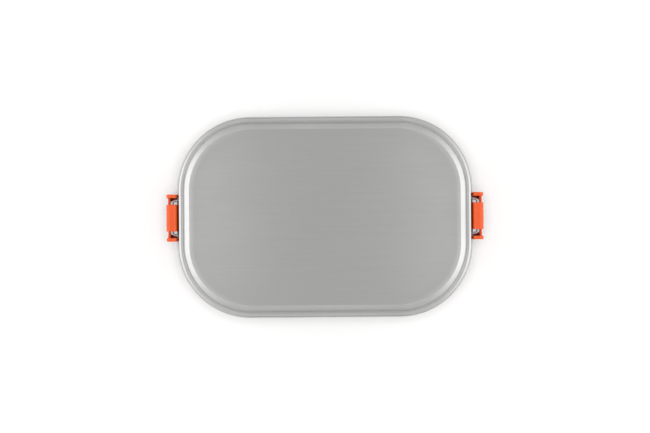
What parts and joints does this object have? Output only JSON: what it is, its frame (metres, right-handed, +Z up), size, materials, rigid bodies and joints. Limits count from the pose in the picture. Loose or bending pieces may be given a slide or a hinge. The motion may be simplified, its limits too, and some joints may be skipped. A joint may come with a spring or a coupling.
{
  "type": "lunch box",
  "caption": "Rounded-rectangle stainless steel lunch box with a raised brushed lid, silicone seal and orange snap clips hinged on wires at the short ends.",
  "frame": {"origin": "centre of the underside of the closed box", "axes": "+X along the long side towards the right clip, +Y along the short side, +Z up"},
  "size_m": [0.2162, 0.137, 0.0602],
  "materials": {
    "lid_steel": "fine straight brushing along the length of the raised panel, satin border",
    "tub_steel": "satin drawn stainless steel",
    "catch_steel": "bright stamped stainless strip",
    "bracket_steel": "black-coated stamped steel strip",
    "wire_steel": "polished stainless wire",
    "silicone": "translucent white silicone",
    "clip_plastic": "moulded orange plastic, satin gloss"
  },
  "bodies": {
    "tub": {"tub": "tub_steel", "catch_right": "catch_steel", "catch_left": "catch_steel"},
    "lid": {"lid": "lid_steel", "gasket": "silicone", "bracket_right": "bracket_steel", "bracket_left": "bracket_steel", "hinge_wire_right": "wire_steel", "hinge_wire_left": "wire_steel"},
    "clip_right": {"clip_right": "clip_plastic"},
    "clip_left": {"clip_left": "clip_plastic"}
  },
  "joints": [
    {"name": "lid_lift", "type": "slide", "parent": "tub", "child": "lid", "axis": [0, 0, 1], "range_m": [0, 0.024]},
    {"name": "clip_right_swing", "type": "hinge", "parent": "lid", "child": "clip_right", "pos_m": [0.10425, 0, 0.0546], "axis": [0, -1, 0], "range_deg": [0, 120]},
    {"name": "clip_left_swing", "type": "hinge", "parent": "lid", "child": "clip_left", "pos_m": [-0.10425, 0, 0.0546], "axis": [0, 1, 0], "range_deg": [0, 120]}
  ],
  "couplings": [
    {"joint": "clip_right_swing", "follows": "lid_lift", "rad_per_m": 87.266},
    {"joint": "clip_left_swing", "follows": "lid_lift", "rad_per_m": 87.266}
  ]
}
